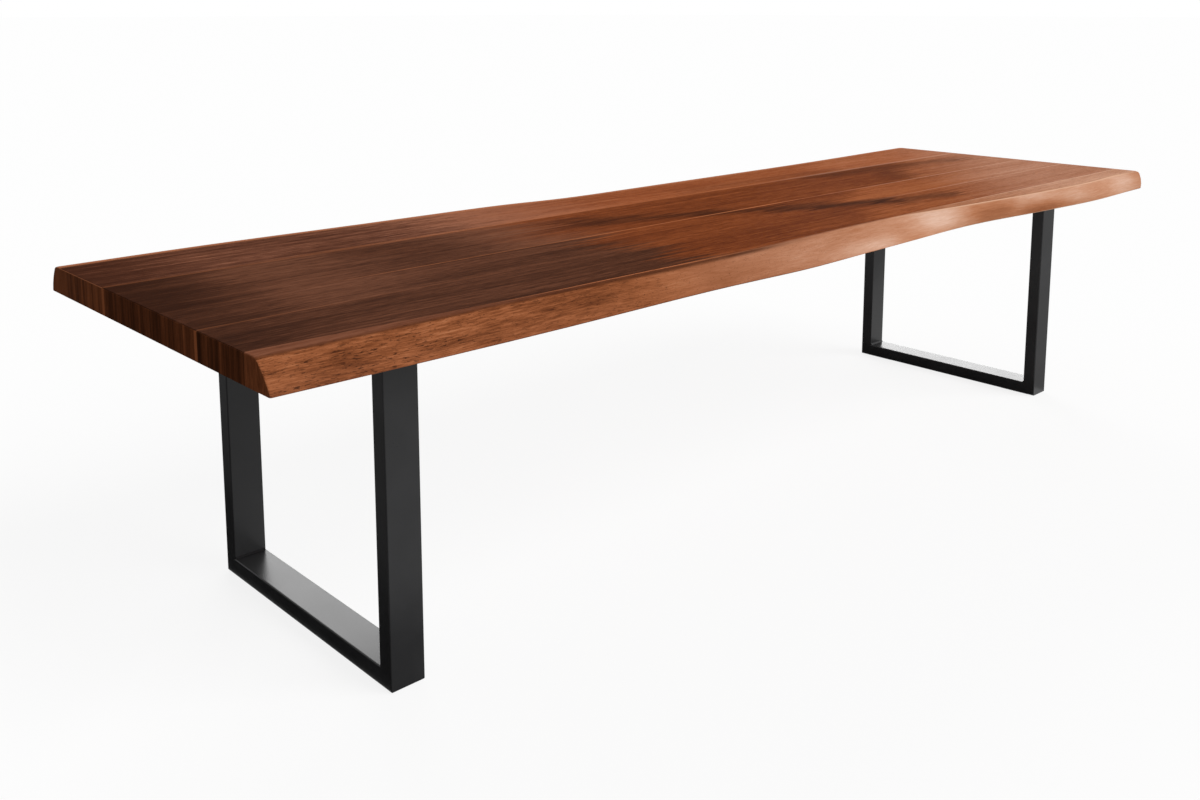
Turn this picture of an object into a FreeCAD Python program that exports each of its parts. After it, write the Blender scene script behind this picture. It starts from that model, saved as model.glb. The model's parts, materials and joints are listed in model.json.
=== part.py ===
"""Live edge dining table.

A solid wooden top, glued up from three straight boards between two planks that keep the wavy edge of
the tree, rests on two U-shaped frames of rectangular steel tube.  The frames' posts and runners meet
in mitres, a flat plate ties each frame's posts together at the top, and bolts through slots in the
plate go up into threaded inserts, so that the wood can swell and shrink.

Millimetres.  X runs along the table, Y across it, Z up.  The origin is on the floor in the middle of
the two frames.
"""

import FreeCAD
import Part
import Sketcher
import math
import os

Vector = FreeCAD.Vector

DIMENSIONS = [
    # the wooden top
    ("table_height", 768, "floor to the upper face of the top"),
    ("top_length", 3300, "length of the top"),
    ("top_thickness", 58, "thickness of the top"),
    ("far_glue_line", 211.5, "middle of the frames to the far plank's glue line"),
    ("far_board_width", 279.5, "width of the board beside the far plank"),
    ("middle_board_width", 163.5, "width of the middle board"),
    ("near_board_width", 191, "width of the board beside the near plank"),
    ("arris", 2, "rounding of the upper edge at the top's ends"),
    # the live edges
    ("near_flat", 3, "narrowest flat strip on the near plank"),
    ("near_wave", 75, "how far the near shoulder wanders outwards"),
    ("near_lean", 68, "most that the near bark face leans out"),
    ("far_flat", 210.5, "narrowest flat strip on the far plank"),
    ("far_wave", 62, "how far the far shoulder wanders outwards"),
    ("far_lean", 24, "most that the far bark face leans out"),
    ("bark_belly", 5, "swell of the bark face above its straight chord"),
    ("shoulder_ease", 7, "tangent length of the rounding at the shoulder"),
    ("left_corner", 4, "tangent length of the rounded corners at the top's left end"),
    ("right_corner", 14, "tangent length of the rounded corners at the top's right end"),
    # the tongues in the glue joints
    ("tongue_thickness", 8, "thickness of a loose tongue"),
    ("tongue_width", 30, "width of a loose tongue across its joint"),
    ("tongue_stop", 60, "a tongue stops this short of the top's ends"),
    # the flattening channels let into the underside
    ("channel_spacing", 1000, "distance between the two channels"),
    ("channel_length", 740, "length of a channel"),
    ("channel_width", 50, "width of a channel over its flanges"),
    ("channel_depth", 20, "depth of a channel over its web and flange"),
    ("channel_wall", 3, "wall of a channel"),
    ("channel_recess", 1, "depth of the web below the top's underside"),
    ("groove_clearance", 0.5, "gap beside a flange and above its edge"),
    ("groove_end_gap", 8, "gap at each end of a channel for the wood's movement"),
    ("screw_pitch", 320, "distance between a channel's screws"),
    ("screw_diameter", 5, "shank of a channel screw"),
    ("screw_length", 28, "length of a channel screw under its head"),
    ("screw_head_diameter", 11, "head of a channel screw"),
    ("screw_head_height", 3, "height of a channel screw's head"),
    ("screw_slot_length", 14, "length of a channel's screw slot"),
    ("screw_slot_width", 6, "width of a channel's screw slot"),
    # the steel frames
    ("frame_spacing", 2615, "distance between the frames' middles"),
    ("frame_width", 705, "width of a frame over its posts"),
    ("tube_face", 80, "wide side of the tube"),
    ("tube_edge", 40, "narrow side of the tube"),
    ("tube_wall", 3, "wall of the tube"),
    ("tube_corner", 3, "outer corner radius of the tube"),
    ("plate_thickness", 8, "thickness of the mounting plate"),
    ("plate_corner", 4, "corner radius of the mounting plate"),
    # the bolts and their threaded inserts
    ("bolt_rows", 40, "distance between a plate's two rows of bolts"),
    ("bolt_pitch", 540, "distance between the bolts in a row"),
    ("slot_width", 9, "width of a bolt slot"),
    ("slot_length", 22, "length of a bolt slot across the table"),
    ("bolt_diameter", 8, "shank of a bolt"),
    ("bolt_length", 30, "length of a bolt under its flange"),
    ("bolt_flange", 18, "diameter of a bolt's flange"),
    ("flange_thickness", 1.5, "thickness of a bolt's flange"),
    ("bolt_head_flats", 13, "hexagon of a bolt's head across its flats"),
    ("bolt_head_height", 6, "height of a bolt's head without its flange"),
    ("insert_diameter", 13, "outside of a threaded insert"),
    ("insert_length", 25, "length of a threaded insert"),
    ("thread_clearance", 0.05, "gap between a bolt's shank and its insert"),
    # the felt pads
    ("pad_thickness", 3, "thickness of a felt pad"),
    ("pad_width", 60, "width of a felt pad along the table"),
    ("pad_length", 100, "length of a felt pad across the table"),
    ("pad_inset", 25, "end of the runner to its felt pad"),
    # shared by all cutters
    ("overcut", 1, "how far a cutter runs past the face that it opens"),
]

# The shape of the live edges, each point as (share of the top's length from its left end, share of the
# plank's wave, share of the plank's lean).
NEAR_EDGE = [
    (0.000, 0.25, 0.71),
    (0.100, 0.25, 0.81),
    (0.220, 0.25, 0.81),
    (0.350, 0.21, 0.80),
    (0.420, 0.14, 1.00),
    (0.500, 0.00, 1.00),
    (0.580, 0.06, 0.77),
    (0.650, 0.39, 0.26),
    (0.700, 0.58, 0.12),
    (0.760, 0.81, 0.13),
    (0.820, 0.95, 0.20),
    (0.895, 1.00, 0.30),
    (0.950, 0.87, 0.35),
    (1.000, 1.00, 0.15),
]
FAR_EDGE = [
    (0.00, 0.90, 1.00),
    (0.10, 1.00, 0.85),
    (0.22, 0.78, 0.85),
    (0.34, 0.62, 0.95),
    (0.38, 0.47, 0.93),
    (0.42, 0.15, 0.87),
    (0.50, 0.00, 0.85),
    (0.65, 0.04, 0.90),
    (0.80, 0.13, 0.87),
    (0.92, 0.39, 0.90),
    (1.00, 0.55, 1.00),
]

# Heights and places that several pieces share.
TOP_UNDERSIDE = "(dims.table_height - dims.top_thickness)"
PLATE_UNDERSIDE = f"({TOP_UNDERSIDE} - dims.plate_thickness)"
MIDDLE_GLUE_LINE = "(dims.far_glue_line - dims.far_board_width)"
NEAR_GLUE_LINE = f"({MIDDLE_GLUE_LINE} - dims.middle_board_width)"
EDGE_GLUE_LINE = f"({NEAR_GLUE_LINE} - dims.near_board_width)"
WEB_UNDERSIDE = f"({TOP_UNDERSIDE} + dims.channel_recess)"
FRAME_SIDES = {"left": -1, "right": 1}
SCREWS_PER_CHANNEL = 3
FIRST_SCREW = f"(-{SCREWS_PER_CHANNEL - 1} * dims.screw_pitch / 2)"

# How closely a measured length or direction has to agree with the wanted one.
NEARLY_ZERO = 0.01
NEARLY_PARALLEL = 0.999

doc = FreeCAD.newDocument("live_edge_table")
dims = doc.addObject("Spreadsheet::Sheet", "dims")
for row, (alias, size, meaning) in enumerate(DIMENSIONS, start=1):
    dims.set(f"A{row}", meaning)
    dims.set(f"B{row}", str(size))
    dims.setAlias(f"B{row}", alias)
doc.recompute()


# Drawing helpers


def number(expression):
    """The value of an expression on the sheet's aliases."""
    return float(dims.evalExpression(expression.replace("dims.", "")))


def bind(thing, **places):
    """Ties a thing's properties to expressions; x, y and z stand for its place."""
    names = {"x": ".Placement.Base.x", "y": ".Placement.Base.y", "z": ".Placement.Base.z"}
    for name, expression in places.items():
        thing.setExpression(names.get(name, name), expression)
    return thing


def new_body(label, **place):
    """A PartDesign body that may hold several separate solids."""
    body = doc.addObject("PartDesign::Body", label)
    body.Label = label
    body.AllowCompound = True
    return bind(body, **place)


def origin_feature(body, role):
    """One of the body's own origin planes or axes."""
    return next(item for item in body.Origin.OriginFeatures if item.Role == role)


def new_sketch(body, plane, across="0", up="0", lift="0"):
    """A sketch on one of the body's planes, with its origin moved by three expressions."""
    sketch = body.newObject("Sketcher::SketchObject", "sketch")
    sketch.AttachmentSupport = (origin_feature(body, plane), "")
    sketch.MapMode = "FlatFace"
    for axis, expression in zip("xyz", (across, up, lift)):
        sketch.setExpression(f".AttachmentOffset.Base.{axis}", expression)
    return sketch


def outline(sketch, corners):
    """A closed outline whose corners are pairs of expressions, each one dimensioned from the origin."""
    points = [Vector(number(across), number(up), 0) for across, up in corners]
    count = len(points)
    sides = [Part.LineSegment(points[i], points[(i + 1) % count]) for i in range(count)]
    sketch.addGeometry(sides, False)
    for i, corner in enumerate(corners):
        sketch.addConstraint(Sketcher.Constraint("Coincident", i, 2, (i + 1) % count, 1))
        for kind, size, expression in zip(("DistanceX", "DistanceY"), (points[i].x, points[i].y), corner):
            index = sketch.addConstraint(Sketcher.Constraint(kind, -1, 1, i, 1, size))
            sketch.setExpression(f"Constraints[{index}]", expression)
    return sketch


def rectangle(sketch, across, up):
    """A rectangle centred on the sketch's origin."""
    right, upper = f"({across}) / 2", f"({up}) / 2"
    left, lower = f"-{right}", f"-{upper}"
    return outline(sketch, [(left, lower), (right, lower), (right, upper), (left, upper)])


def slot(sketch, length, width):
    """A round-ended slot centred on the sketch's origin, along its second axis."""
    radius = number(width) / 2
    reach = number(length) / 2 - radius
    ends = [
        Part.ArcOfCircle(Part.Circle(Vector(0, reach, 0), Vector(0, 0, 1), radius), 0, math.pi),
        Part.ArcOfCircle(Part.Circle(Vector(0, -reach, 0), Vector(0, 0, 1), radius), math.pi, 2 * math.pi),
    ]
    sides = [
        Part.LineSegment(Vector(-radius, reach, 0), Vector(-radius, -reach, 0)),
        Part.LineSegment(Vector(radius, -reach, 0), Vector(radius, reach, 0)),
    ]
    sketch.addGeometry(ends + sides, False)
    for first, second in ((0, 2), (2, 1), (1, 3), (3, 0)):
        sketch.addConstraint(Sketcher.Constraint("Tangent", first, 2, second, 1))
    sketch.addConstraint(Sketcher.Constraint("PointOnObject", 0, 3, -2))
    sketch.addConstraint(Sketcher.Constraint("Symmetric", 0, 3, 1, 3, -1, 1))
    index = sketch.addConstraint(Sketcher.Constraint("Radius", 0, radius))
    sketch.setExpression(f"Constraints[{index}]", f"({width}) / 2")
    index = sketch.addConstraint(Sketcher.Constraint("DistanceY", 1, 3, 0, 3, 2 * reach))
    sketch.setExpression(f"Constraints[{index}]", f"{length} - {width}")
    return sketch


def hexagon(sketch, across_flats):
    """A regular hexagon centred on the sketch's origin, with two corners on its first axis."""
    radius = number(across_flats) / math.sqrt(3)
    turns = [i * math.pi / 3 for i in range(6)]
    corners = [Vector(radius * math.cos(turn), radius * math.sin(turn), 0) for turn in turns]
    sides = [Part.LineSegment(corners[i], corners[(i + 1) % 6]) for i in range(6)]
    sketch.addGeometry(sides, False)
    sketch.addGeometry(Part.Circle(Vector(), Vector(0, 0, 1), radius), True)
    sketch.addConstraint(Sketcher.Constraint("Coincident", 6, 3, -1, 1))
    for i in range(6):
        sketch.addConstraint(Sketcher.Constraint("Coincident", i, 2, (i + 1) % 6, 1))
        sketch.addConstraint(Sketcher.Constraint("PointOnObject", i, 1, 6))
    for i in range(1, 6):
        sketch.addConstraint(Sketcher.Constraint("Equal", 0, i))
    sketch.addConstraint(Sketcher.Constraint("PointOnObject", 0, 1, -1))
    index = sketch.addConstraint(Sketcher.Constraint("Radius", 6, radius))
    sketch.setExpression(f"Constraints[{index}]", f"({across_flats}) / sqrt(3)")
    return sketch


def pad(body, sketch, length, middle=False, back=False):
    """Pads a sketch along its normal, to both sides of it if it is the middle."""
    feature = body.newObject("PartDesign::Pad", "pad")
    feature.Profile = sketch
    feature.SideType = "Symmetric" if middle else "One side"
    feature.Reversed = back
    return bind(feature, Length=length)


def pocket(body, sketch, depth=None):
    """Cuts a sketch out to both sides of its plane: right through, or over a depth each way."""
    feature = body.newObject("PartDesign::Pocket", "pocket")
    feature.Profile = sketch
    feature.SideType = "Symmetric"
    if depth is None:
        feature.Type = "ThroughAll"
        return feature
    return bind(feature, Length=f"2 * ({depth})")


def revolve(body, sketch):
    """Turns a half profile about the body's upright axis."""
    feature = body.newObject("PartDesign::Revolution", "revolution")
    feature.Profile = sketch
    feature.ReferenceAxis = (sketch, ["V_Axis"])
    feature.Angle = 360
    return feature


def grid(body, features, columns, column_pitch, rows, row_pitch):
    """Repeats features from the grid's first place: columns along X and rows along Y."""
    pattern = body.newObject("PartDesign::LinearPattern", "grid")
    pattern.Originals = features
    pattern.Direction = (origin_feature(body, "Y_Axis"), [""])
    pattern.Occurrences = rows
    bind(pattern, Length=f"{rows - 1} * {row_pitch}")
    if columns > 1:
        pattern.Direction2 = (origin_feature(body, "X_Axis"), [""])
        pattern.Occurrences2 = columns
        bind(pattern, Length2=f"{columns - 1} * {column_pitch}")
    body.Tip = pattern
    return pattern


def round_edges(body, base, radius, chosen):
    """Rounds the edges of a feature that a test chooses."""
    doc.recompute()
    names = [f"Edge{i}" for i, edge in enumerate(base.Shape.Edges, start=1) if chosen(edge)]
    feature = body.newObject("PartDesign::Fillet", "rounding")
    feature.Base = (base, names)
    bind(feature, Radius=radius)
    body.Tip = feature
    return feature


def runs_along(edge, axis):
    """Whether a straight edge runs along X, Y or Z."""
    if not isinstance(edge.Curve, Part.Line):
        return False
    return abs(getattr(edge.Curve.Direction, axis)) > NEARLY_PARALLEL


def cut(label, base, tools):
    """A piece with its housings cut out of it."""
    piece = doc.addObject("Part::Cut", label)
    piece.Label = label
    piece.Base = base
    if len(tools) == 1:
        piece.Tool = tools[0]
        return piece
    cutters = doc.addObject("Part::Compound", f"{label}_cutters")
    cutters.Links = tools
    piece.Tool = cutters
    return piece


# The wooden top


def eased_corner(corner, one_way, other_way, ease):
    """The start, crown and end of the arc that rounds a corner between two directions."""
    half_angle = one_way.getAngle(other_way) / 2
    bisector = (one_way + other_way).normalize()
    depth = ease / math.cos(half_angle) - ease * math.tan(half_angle)
    return corner + one_way * ease, corner + bisector * depth, corner + other_way * ease


def rounding_inset(depth, radius):
    """How far a rounded edge stands in from its face at a depth below the upper surface."""
    return radius - math.sqrt(radius**2 - max(radius - depth, 0) ** 2)


def bark_distances(name, points, depth):
    """How far the bark face stands from its plank's glue line at each point, at a depth below the top."""
    flat, wave, lean, belly, ease = (
        number(f"dims.{size}")
        for size in (f"{name}_flat", f"{name}_wave", f"{name}_lean", "bark_belly", "shoulder_ease")
    )
    share = depth / number("dims.top_thickness")
    parabola = 4 * share * (1 - share)
    even = flat + ease - rounding_inset(depth, ease) + belly * parabola
    return [even + wave * out + lean * tilt * share for along, out, tilt in points]


def plank_outline(name, glue_line, side, points, depth):
    """The outline of a live edge plank at a depth below its upper face."""
    half_length = number("dims.top_length") / 2 - max(number("dims.arris") - depth, 0)
    height = number("dims.table_height") - depth
    edge = [
        Vector((2 * point[0] - 1) * half_length, glue_line + side * distance, height)
        for point, distance in zip(points, bark_distances(name, points, depth))
    ]
    inwards = Vector(0, -side, 0)
    left, right = (edge[1] - edge[0]).normalize(), (edge[-2] - edge[-1]).normalize()
    left_arc = eased_corner(edge[0], inwards, left, number("dims.left_corner"))
    right_arc = eased_corner(edge[-1], right, inwards, number("dims.right_corner"))
    bark_points = [left_arc[2], *edge[1:-1], right_arc[0]]
    bark = Part.BSplineCurve()
    bark.interpolate(Points=bark_points, InitialTangent=left, FinalTangent=-right)
    left_end, right_end = Vector(-half_length, glue_line, height), Vector(half_length, glue_line, height)
    edges = [
        Part.makeLine(left_end, left_arc[0]),
        Part.Arc(*left_arc).toShape(),
        bark.toShape(),
        Part.Arc(*right_arc).toShape(),
        Part.makeLine(right_arc[2], right_end),
        Part.makeLine(right_end, left_end),
    ]
    return Part.Wire(edges)


def live_edge_plank(name, glue_line, side, points):
    """A plank with a wavy bark face, lofted through its outlines from the upper face down."""
    ease, thickness = number("dims.shoulder_ease"), number("dims.top_thickness")
    rounding = [0, ease * (1 - math.sqrt(0.5)), ease]
    below = [ease + (thickness - ease) * share for share in (1 / 3, 2 / 3, 1)]
    outlines = [plank_outline(name, number(glue_line), side, points, depth) for depth in rounding + below]
    blank = doc.addObject("Part::Feature", f"{name}_plank_blank")
    blank.Shape = Part.makeLoft(outlines, True, True)
    return blank


def board_blank(name, width, far_side):
    """A straight board with the upper edges of its ends chamfered, placed by its far glue line."""
    body = new_body(f"{name}_blank", y=f"{far_side} - {width} / 2", z=TOP_UNDERSIDE)
    sketch = rectangle(new_sketch(body, "XY_Plane"), "dims.top_length", width)
    board = pad(body, sketch, "dims.top_thickness")
    doc.recompute()
    upper = number("dims.top_thickness") - NEARLY_ZERO
    names = [
        f"Edge{i}"
        for i, edge in enumerate(board.Shape.Edges, start=1)
        if edge.BoundBox.ZMin > upper and runs_along(edge, "y")
    ]
    chamfer = body.newObject("PartDesign::Chamfer", "arris")
    chamfer.Base = (board, names)
    body.Tip = bind(chamfer, Size="dims.arris")
    return body


def glue_tongue(label, glue_line):
    """A loose tongue glued into the grooves on both sides of a joint."""
    underside = f"{TOP_UNDERSIDE} + (dims.top_thickness - dims.tongue_thickness) / 2"
    body = new_body(label, y=glue_line, z=underside)
    length = "dims.top_length - 2 * dims.tongue_stop"
    sketch = rectangle(new_sketch(body, "XY_Plane"), length, "dims.tongue_width")
    pad(body, sketch, "dims.tongue_thickness")
    return body


def channel_profile(sketch, gap):
    """A channel's section, web down, with its outline grown by a gap beside and above the flanges."""
    half, wall = f"dims.channel_width / 2 + {gap}", "dims.channel_wall"
    inner = f"dims.channel_width / 2 - {wall} - {gap}"
    rise = f"dims.channel_depth + {gap}"
    return outline(
        sketch,
        [
            (f"-({half})", "0"),
            (half, "0"),
            (half, rise),
            (inner, rise),
            (inner, wall),
            (f"-({inner})", wall),
            (f"-({inner})", rise),
            (f"-({half})", rise),
        ],
    )


def screw_row(body, feature):
    """Repeats a feature at all the screws of a channel, from the first one."""
    return grid(body, [feature], 1, "0", SCREWS_PER_CHANNEL, "dims.screw_pitch")


def flattening_channel(name, x):
    """A steel channel let into the underside, which keeps the wide top flat."""
    body = new_body(name, x=x, z=WEB_UNDERSIDE)
    profile = channel_profile(new_sketch(body, "XZ_Plane"), "0")
    pad(body, profile, "dims.channel_length", middle=True)
    place = new_sketch(body, "XY_Plane", up=FIRST_SCREW)
    opening = slot(place, "dims.screw_slot_length", "dims.screw_slot_width")
    screw_row(body, pocket(body, opening, "dims.channel_wall + dims.overcut"))
    return body


def channel_groove(name, x):
    """The room for a channel in the underside: its section with a gap, open downwards."""
    body = new_body(name, x=x, z=WEB_UNDERSIDE)
    length = "dims.channel_length + 2 * dims.groove_end_gap"
    profile = channel_profile(new_sketch(body, "XZ_Plane"), "dims.groove_clearance")
    pad(body, profile, length, middle=True)
    width = "dims.channel_width + 2 * dims.groove_clearance"
    mouth = rectangle(new_sketch(body, "XY_Plane"), width, length)
    pad(body, mouth, "dims.channel_recess + dims.overcut", back=True)
    return body


def channel_screws(name, x):
    """The pan-headed screws that hold a channel, one in each of its slots."""
    body = new_body(name, x=x, y=FIRST_SCREW, z=WEB_UNDERSIDE)
    head, shank = "dims.screw_head_diameter / 2", "dims.screw_diameter / 2"
    profile = [
        ("0", "-dims.screw_head_height"),
        (head, "-dims.screw_head_height"),
        (head, "0"),
        (shank, "0"),
        (shank, "dims.screw_length"),
        ("0", "dims.screw_length"),
    ]
    screw_row(body, revolve(body, outline(new_sketch(body, "XZ_Plane"), profile)))
    return body


# The steel frames


def tube(body, plane, length, up, lift="0"):
    """A hollow length of the rectangular tube, its wide side along X: upright, or centred along Y."""
    lies = plane == "XZ_Plane"
    section = rectangle(new_sketch(body, plane, "0", up, lift), "dims.tube_face", "dims.tube_edge")
    bar = pad(body, section, length, middle=lies)
    round_edges(body, bar, "dims.tube_corner", lambda edge: runs_along(edge, "y" if lies else "z"))
    inside = "dims.tube_face - 2 * dims.tube_wall", "dims.tube_edge - 2 * dims.tube_wall"
    pocket(body, rectangle(new_sketch(body, plane, "0", up, lift), *inside))


def mitre(body, side, keep_runner):
    """Cuts the 45 degree mitre between a post and the runner: side is -1 near, 1 far."""
    outer, inner = f"{side} * dims.frame_width / 2", f"{side} * (dims.frame_width / 2 - dims.tube_edge)"
    low, high = "dims.pad_thickness", "(dims.pad_thickness + dims.tube_edge)"
    past_outer, past_inner = f"{outer} + {side} * dims.overcut", f"{inner} - {side} * dims.overcut"
    past_low, past_high = f"{low} - dims.overcut", f"{high} + dims.overcut"
    third = (past_outer, past_high) if keep_runner else (past_inner, past_low)
    corners = [(past_outer, past_low), (past_inner, past_high), third]
    return pocket(body, outline(new_sketch(body, "YZ_Plane"), corners))


def frame_post(name, x, side):
    """A post: a tube from the mitre at the floor up to the mounting plate."""
    body = new_body(name, x=x)
    middle = f"{side} * (dims.frame_width - dims.tube_edge) / 2"
    height = f"{PLATE_UNDERSIDE} - dims.pad_thickness"
    tube(body, "XY_Plane", height, middle, lift="dims.pad_thickness")
    mitre(body, side, keep_runner=False)
    return body


def frame_runner(name, x):
    """The runner along the floor, mitred at both ends."""
    body = new_body(name, x=x)
    tube(body, "XZ_Plane", "dims.frame_width", "dims.pad_thickness + dims.tube_edge / 2")
    mitre(body, -1, keep_runner=True)
    mitre(body, 1, keep_runner=True)
    return body


def mounting_plate(name, x):
    """The flat plate across a frame's posts, slotted across the table for the bolts."""
    body = new_body(name, x=x, z=PLATE_UNDERSIDE)
    face = rectangle(new_sketch(body, "XY_Plane"), "dims.tube_face", "dims.frame_width")
    plate = pad(body, face, "dims.plate_thickness")
    round_edges(body, plate, "dims.plate_corner", lambda edge: runs_along(edge, "z"))
    place = new_sketch(body, "XY_Plane", across="-dims.bolt_rows / 2", up="-dims.bolt_pitch / 2")
    opening = slot(place, "dims.slot_length", "dims.slot_width")
    bolt_grid(body, [pocket(body, opening, "dims.plate_thickness + dims.overcut")])
    return body


def felt_pads(name, x):
    """The two felt pads under a runner."""
    pitch = "(dims.frame_width - 2 * dims.pad_inset - dims.pad_length)"
    body = new_body(name, x=x, y=f"-{pitch} / 2")
    face = rectangle(new_sketch(body, "XY_Plane"), "dims.pad_width", "dims.pad_length")
    grid(body, [pad(body, face, "dims.pad_thickness")], 1, "0", 2, pitch)
    return body


# The bolts and their threaded inserts


def bolt_grid(body, features):
    """Repeats a feature at all four bolts of a frame, from the first one."""
    return grid(body, features, 2, "dims.bolt_rows", 2, "dims.bolt_pitch")


def bolt_place(name, x, height):
    """A body at a frame's first bolt."""
    return new_body(name, x=f"{x} - dims.bolt_rows / 2", y="-dims.bolt_pitch / 2", z=height)


def frame_bolts(name, x):
    """Hexagon bolts with a flange, from below through the plate into their inserts."""
    body = bolt_place(name, x, PLATE_UNDERSIDE)
    flange, shank = "dims.bolt_flange / 2", "dims.bolt_diameter / 2"
    profile = [
        ("0", "-dims.flange_thickness"),
        (flange, "-dims.flange_thickness"),
        (flange, "0"),
        (shank, "0"),
        (shank, "dims.bolt_length"),
        ("0", "dims.bolt_length"),
    ]
    turned = revolve(body, outline(new_sketch(body, "XZ_Plane"), profile))
    below = new_sketch(body, "XY_Plane", lift="-dims.flange_thickness")
    head = pad(body, hexagon(below, "dims.bolt_head_flats"), "dims.bolt_head_height", back=True)
    bolt_grid(body, [turned, head])
    return body


def turned_rings(name, x, inside, bottom):
    """Four rings as wide and high as an insert in its hole, or cylinders where the inside is 0."""
    body = bolt_place(name, x, TOP_UNDERSIDE)
    outside, top = "dims.insert_diameter / 2", "dims.insert_length"
    profile = [(inside, bottom), (outside, bottom), (outside, top), (inside, top)]
    bolt_grid(body, [revolve(body, outline(new_sketch(body, "XZ_Plane"), profile))])
    return body


def thread_inserts(name, x):
    """The threaded inserts in the top's underside."""
    return turned_rings(name, x, "dims.bolt_diameter / 2 + dims.thread_clearance", "0")


def insert_holes(name, x):
    """The holes bored up into the top for a frame's inserts and the ends of their bolts."""
    return turned_rings(name, x, "0", "-dims.overcut")


# The whole table

pieces = []
tongues = {
    "far": glue_tongue("far_tongue", "dims.far_glue_line"),
    "middle": glue_tongue("middle_tongue", MIDDLE_GLUE_LINE),
    "near": glue_tongue("near_tongue", NEAR_GLUE_LINE),
    "edge": glue_tongue("edge_tongue", EDGE_GLUE_LINE),
}
pieces += tongues.values()

housings = []
for side, sign in FRAME_SIDES.items():
    x = f"{sign} * dims.frame_spacing / 2"
    channel_x = f"{sign} * dims.channel_spacing / 2"
    screws = channel_screws(f"{side}_channel_screws", channel_x)
    pieces += [
        frame_post(f"{side}_near_post", x, -1),
        frame_post(f"{side}_far_post", x, 1),
        frame_runner(f"{side}_runner", x),
        mounting_plate(f"{side}_mounting_plate", x),
        felt_pads(f"{side}_felt_pads", x),
        frame_bolts(f"{side}_frame_bolts", x),
        thread_inserts(f"{side}_thread_inserts", x),
        flattening_channel(f"{side}_flattening_channel", channel_x),
        screws,
    ]
    groove = channel_groove(f"{side}_channel_groove", channel_x)
    housings += [groove, screws, insert_holes(f"{side}_insert_holes", x)]

pieces += [
    cut(
        "far_edge_plank",
        live_edge_plank("far", "dims.far_glue_line", 1, FAR_EDGE),
        [tongues["far"], *housings],
    ),
    cut(
        "far_board",
        board_blank("far_board", "dims.far_board_width", "dims.far_glue_line"),
        [tongues["far"], tongues["middle"], *housings],
    ),
    cut(
        "middle_board",
        board_blank("middle_board", "dims.middle_board_width", MIDDLE_GLUE_LINE),
        [tongues["middle"], tongues["near"], *housings],
    ),
    cut(
        "near_board",
        board_blank("near_board", "dims.near_board_width", NEAR_GLUE_LINE),
        [tongues["near"], tongues["edge"], *housings],
    ),
    cut(
        "near_edge_plank",
        live_edge_plank("near", EDGE_GLUE_LINE, -1, NEAR_EDGE),
        [tongues["edge"]],
    ),
]
doc.recompute()

for item in doc.Objects:
    if {"Invalid", "Error"} & set(item.State):
        raise RuntimeError(f"{item.Label} did not build: {item.State}")
for piece in pieces:
    if piece.Shape.isNull() or not piece.Shape.isValid():
        raise RuntimeError(f"{piece.Label} has no valid shape")

os.makedirs("parts", exist_ok=True)
for piece in pieces:
    piece.Shape.exportStep(os.path.join("parts", f"{piece.Label}.step"))
    print(f"{piece.Label}: {len(piece.Shape.Solids)} solid(s), {piece.Shape.Volume / 1000:.0f} cm3")
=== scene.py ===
"""Looks of a live edge dining table, dressed over its fixed construction frame.

The table is a solid wooden top, glued up from three straight boards between two planks with wavy live
edges, on two U-shaped frames of black rectangular tube.  Lengths are metres.  X runs along the table, Y
across it and Z up from the floor.
"""

import json
import logging
import math
from abc import ABC, abstractmethod
from collections.abc import Callable, Iterable, Iterator, Sequence
from contextlib import contextmanager
from dataclasses import dataclass, field
from enum import Enum
from functools import partialmethod, reduce

import bmesh
import bpy
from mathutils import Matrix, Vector
from mathutils.bvhtree import BVHTree

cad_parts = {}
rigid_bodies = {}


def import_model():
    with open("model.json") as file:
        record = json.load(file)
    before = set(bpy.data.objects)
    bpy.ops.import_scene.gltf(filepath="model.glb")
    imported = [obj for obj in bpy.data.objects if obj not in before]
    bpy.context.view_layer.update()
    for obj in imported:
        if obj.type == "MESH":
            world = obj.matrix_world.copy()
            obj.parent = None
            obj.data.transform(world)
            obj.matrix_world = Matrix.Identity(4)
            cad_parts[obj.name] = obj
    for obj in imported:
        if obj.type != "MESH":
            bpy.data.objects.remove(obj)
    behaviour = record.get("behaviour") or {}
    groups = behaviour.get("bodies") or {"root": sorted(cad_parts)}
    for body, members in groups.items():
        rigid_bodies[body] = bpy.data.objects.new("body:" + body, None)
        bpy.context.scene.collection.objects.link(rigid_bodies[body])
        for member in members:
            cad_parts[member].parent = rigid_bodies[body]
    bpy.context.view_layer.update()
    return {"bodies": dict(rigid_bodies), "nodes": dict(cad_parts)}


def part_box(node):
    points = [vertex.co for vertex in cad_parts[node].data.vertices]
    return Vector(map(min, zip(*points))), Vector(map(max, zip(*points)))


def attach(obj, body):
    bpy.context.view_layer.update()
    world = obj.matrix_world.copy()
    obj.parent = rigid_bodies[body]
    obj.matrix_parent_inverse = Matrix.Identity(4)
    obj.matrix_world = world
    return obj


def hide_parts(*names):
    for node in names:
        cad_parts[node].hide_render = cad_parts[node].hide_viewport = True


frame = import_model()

BODY = next(iter(frame["bodies"]))
LOG = logging.getLogger("live_edge_table")

Colour = tuple[float, float, float, float]
Triple = tuple[float, float, float]
Pair = tuple[float, float]
Stretch = tuple[Pair, Pair]
WHITE: Colour = (1.0, 1.0, 1.0, 1.0)


def screen_colour(red: int, green: int, blue: int) -> Colour:
    """The linear colour of an 8-bit screen colour."""
    linear = [((part / 255 + 0.055) / 1.055) ** 2.4 for part in (red, green, blue)]
    return (*linear, 1.0)


# Shader arithmetic


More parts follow.
